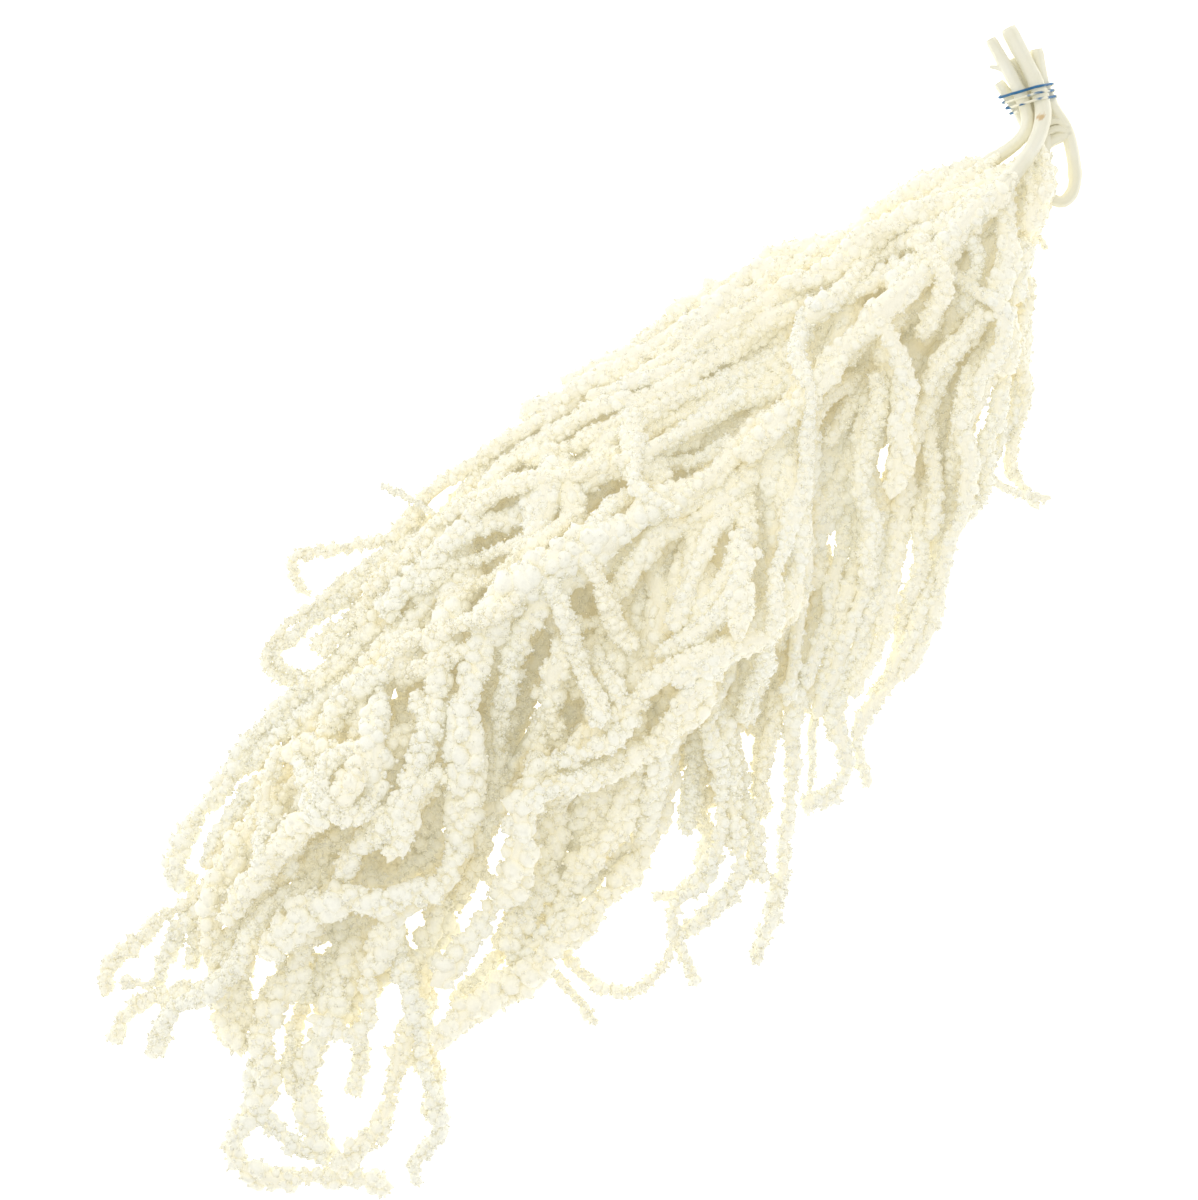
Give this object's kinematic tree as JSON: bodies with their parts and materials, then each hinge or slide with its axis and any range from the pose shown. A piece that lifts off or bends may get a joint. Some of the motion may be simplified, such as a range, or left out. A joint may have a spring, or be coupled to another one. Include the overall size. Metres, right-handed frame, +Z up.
{
  "type": "bunch of dried amaranthus",
  "caption": "Bunch of bleached dried amaranthus lying on its side: bare stems in a thin tie, each with a head of long knobbly hanging tassels.",
  "frame": {"origin": "on the table, under the middle of the bunch's box", "axes": "+X along the bunch from the tassels' tips towards the cut stem ends, +Z up from the table it lies on"},
  "size_m": [0.7503, 0.3325, 0.0928],
  "materials": {
    "blossom": "matt, bleached cream flowers and stems",
    "tie_blue": "thin blue band, slightly glossy"
  },
  "bodies": {
    "root": {"spray_1": "blossom", "spray_2": "blossom", "spray_3": "blossom", "spray_4": "blossom", "spray_5": "blossom", "tie": "tie_blue"}
  },
  "joints": []
}
